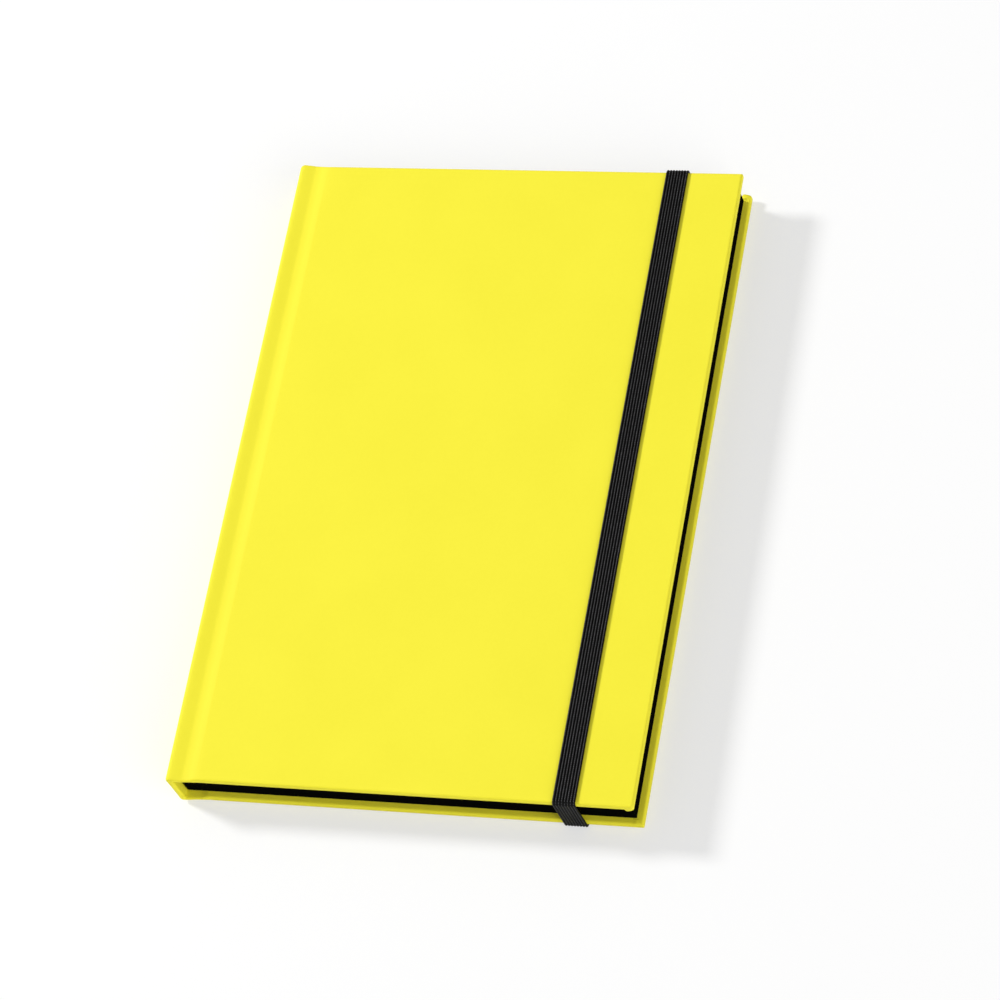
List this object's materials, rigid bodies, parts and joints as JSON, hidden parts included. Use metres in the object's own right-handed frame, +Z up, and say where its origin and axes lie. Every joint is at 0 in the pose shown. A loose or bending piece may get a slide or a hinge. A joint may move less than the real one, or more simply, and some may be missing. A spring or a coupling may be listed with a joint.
{
  "type": "notebook",
  "caption": "Closed hardcover notebook with a wrapped board case, pressed joints beside a square spine, a sewn page block with endpapers, and a flat ribbed elastic closure.",
  "frame": {"origin": "centre of the lying notebook's box on the surface it rests on, with the elastic's lowest side at Z 0", "axes": "+X from the spine to the fore-edge, +Y from the tail to the head, +Z up through the front cover, with the back cover down"},
  "size_m": [0.144, 0.2118, 0.0172],
  "materials": {
    "board": "matte grey bookbinding board",
    "cover_sheet": "fluorescent yellow coated paper, matte",
    "endpaper": "matte black",
    "pages": "trimmed edges, black",
    "lining": "open cotton gauze, glued",
    "elastic": "woven black elastic, ribbed lengthwise"
  },
  "bodies": {
    "root": {"front_board": "board", "back_board": "board", "spine_board": "board", "cover_wrap": "cover_sheet", "front_endpaper": "endpaper", "back_endpaper": "endpaper", "text_block": "pages", "spine_lining": "lining", "elastic_band": "elastic"}
  },
  "joints": []
}
